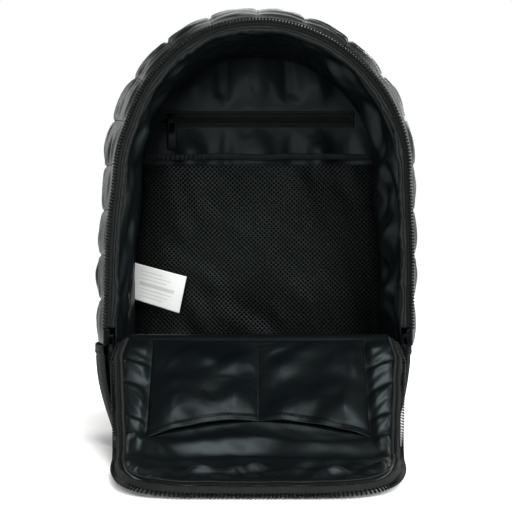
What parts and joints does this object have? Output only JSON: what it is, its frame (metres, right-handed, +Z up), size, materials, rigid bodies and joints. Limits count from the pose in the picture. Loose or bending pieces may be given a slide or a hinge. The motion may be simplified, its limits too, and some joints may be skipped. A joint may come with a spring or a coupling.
{
  "type": "sports backpack",
  "caption": "Quilted arched backpack standing open: front panel unzipped and folded down, lined inside with a zip pocket, mesh pocket and slip pocket, padded shoulder straps behind.",
  "frame": {"origin": "middle of the base's underside, on the surface that the backpack stands on", "axes": "+Z up, -Y towards the opening and the folded front panel, +Y towards the shoulder straps, +X to the right seen from the opening"},
  "size_m": [0.3132, 0.4372, 0.4467],
  "materials": {
    "quilt": "quilted nylon with a low sheen",
    "satin": "thin satin-weave polyester lining",
    "plain": "matte plain-woven polyester",
    "tape": "woven zip tape, binding and webbing",
    "teeth": "nylon zip teeth",
    "metal": "black nickel plate, glossy",
    "mesh": "knitted polyester mesh",
    "label": "white satin ribbon",
    "buckle": "moulded acetal"
  },
  "bodies": {
    "bag": {"quilted_side_wall": "quilt", "side_wall_lining": "satin", "lower_side_left": "plain", "lower_side_right": "plain", "base_panel": "plain", "back_panel": "plain", "back_lining": "satin", "front_panel": "quilt", "front_panel_lining": "satin", "flap_slip_pocket": "satin", "body_zip_tape": "tape", "body_zip_teeth": "teeth", "flap_zip_tape": "tape", "flap_zip_teeth": "teeth", "pocket_zip_tape": "tape", "mesh_pocket": "mesh", "mesh_binding": "tape", "care_label": "label", "pocket_slider": "metal", "main_slider_left": "metal", "main_slider_right": "metal", "haul_loop": "tape", "shoulder_pad_left": "quilt", "shoulder_pad_right": "quilt", "strap_web_left": "tape", "strap_web_right": "tape", "ladder_lock_left": "buckle", "ladder_lock_right": "buckle"},
    "pocket_pull": {"pocket_pull_tab": "metal"}
  },
  "joints": [
    {"name": "pocket_pull_swing", "type": "hinge", "parent": "bag", "child": "pocket_pull", "pos_m": [-0.091, 0.0562, 0.33], "axis": [-1, 0, 0], "range_deg": [-5, 100]}
  ]
}
